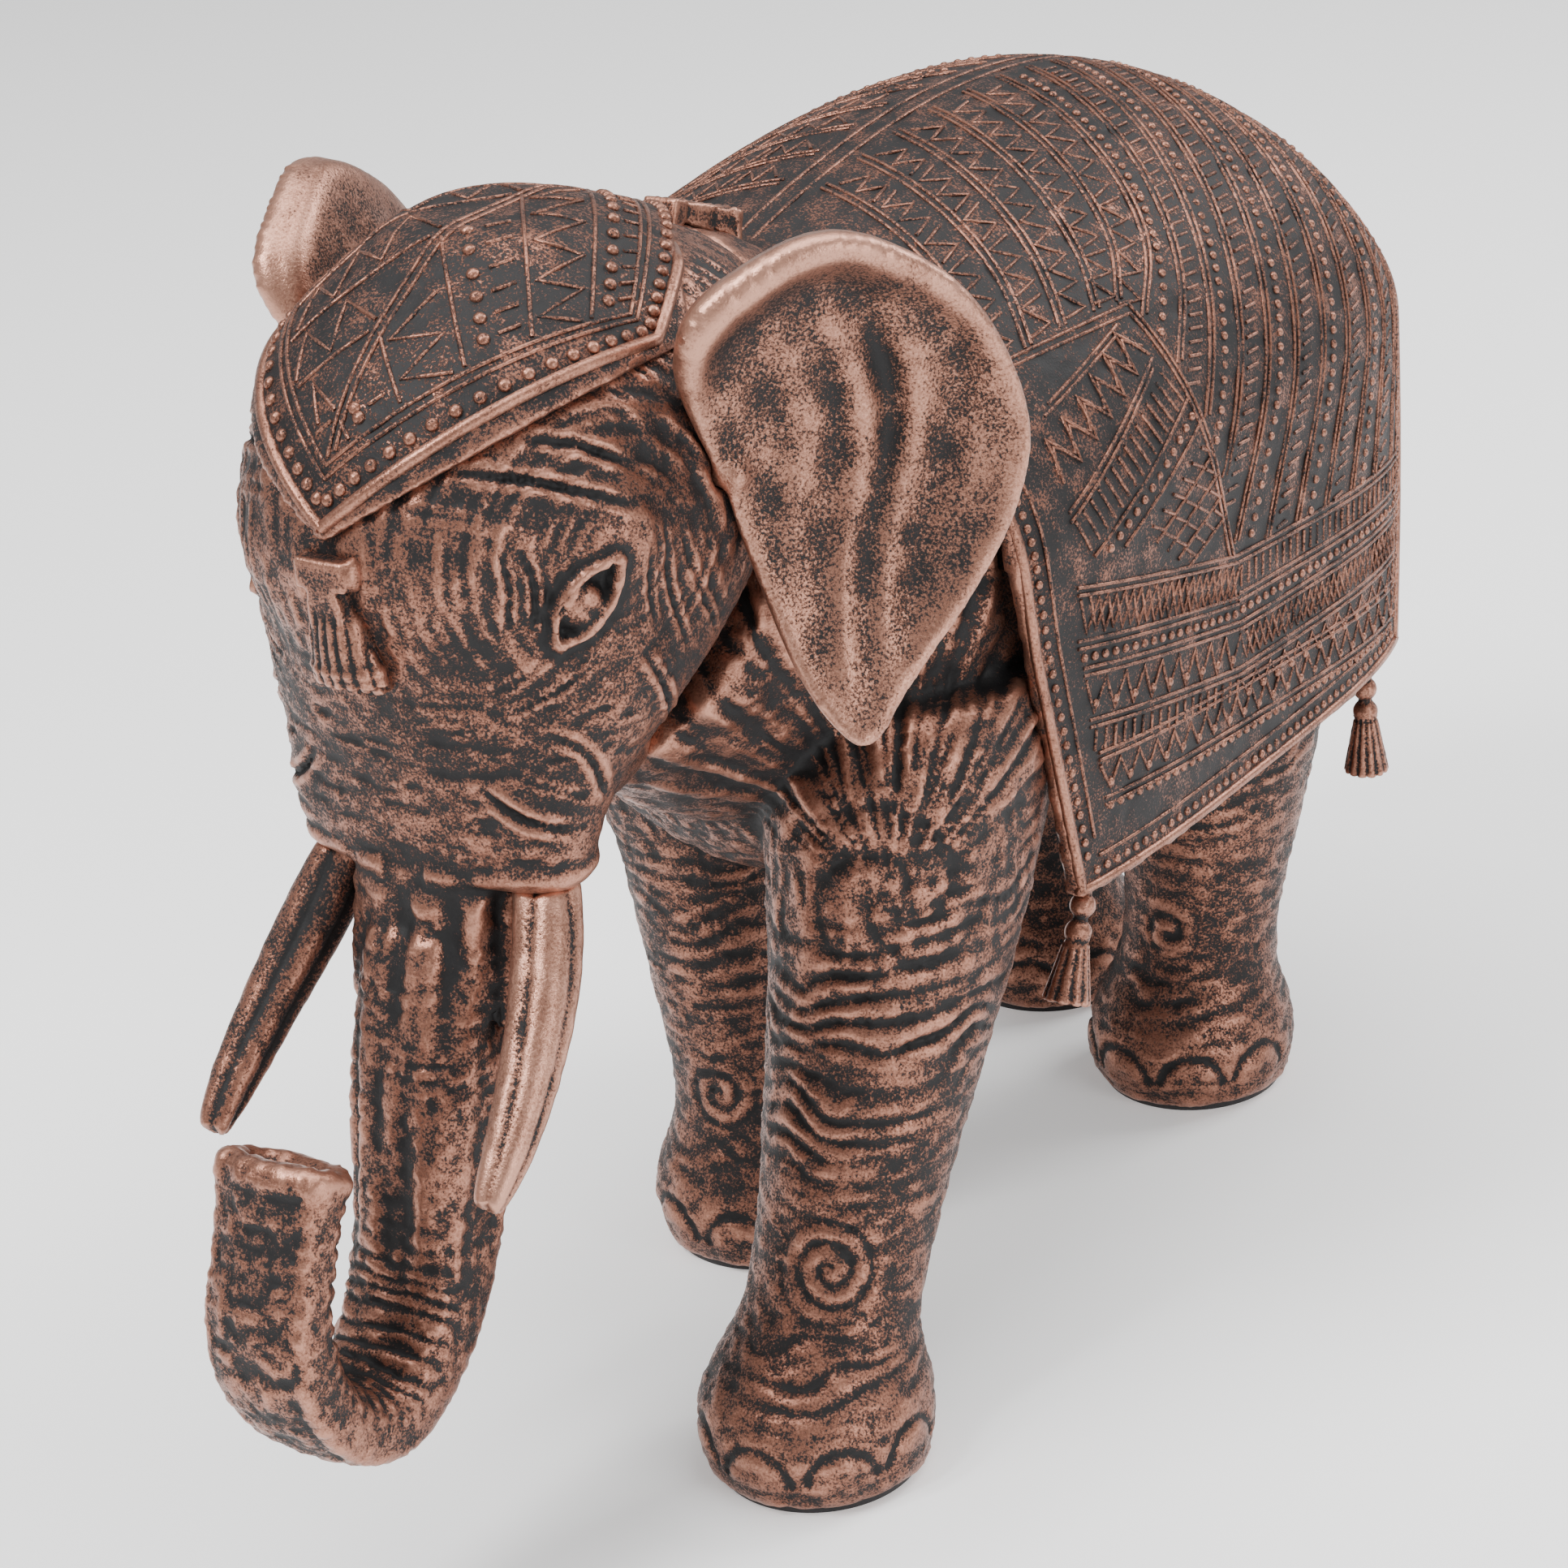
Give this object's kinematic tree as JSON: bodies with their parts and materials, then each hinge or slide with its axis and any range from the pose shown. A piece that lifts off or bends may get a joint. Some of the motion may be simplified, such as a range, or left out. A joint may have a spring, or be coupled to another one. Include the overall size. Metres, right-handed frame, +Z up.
{
  "type": "elephant figurine",
  "caption": "Standing elephant figurine in cast resin with saddle blanket, head cloth, tassels, tusks and forward-curled trunk, on felt pads.",
  "frame": {"origin": "on the table, under the middle of the whole figure's box", "axes": "+Z up, the elephant faces -Y, its left side is +X"},
  "size_m": [0.1304, 0.2988, 0.2146],
  "materials": {
    "hide": "dark resin with a metallic copper rub on raised detail, satin",
    "tusk": "dark resin with a stronger copper rub, satin",
    "cloth": "dark resin in cloth relief, copper on the ridges only, satin",
    "felt": "black felt",
    "steel": "plain drawn wire"
  },
  "bodies": {
    "root": {"body_casting": "hide", "head_casting": "hide", "belly_plug": "hide", "left_ear": "hide", "right_ear": "hide", "tail": "hide", "left_tusk": "tusk", "right_tusk": "tusk", "saddle_blanket": "cloth", "head_cloth": "cloth", "forehead_tassel": "cloth", "nape_tassel": "cloth", "left_front_tassel": "cloth", "right_front_tassel": "cloth", "left_rear_tassel": "cloth", "right_rear_tassel": "cloth", "front_left_felt_pad": "felt", "front_right_felt_pad": "felt", "rear_left_felt_pad": "felt", "rear_right_felt_pad": "felt", "trunk_core_wire": "steel"}
  },
  "joints": []
}
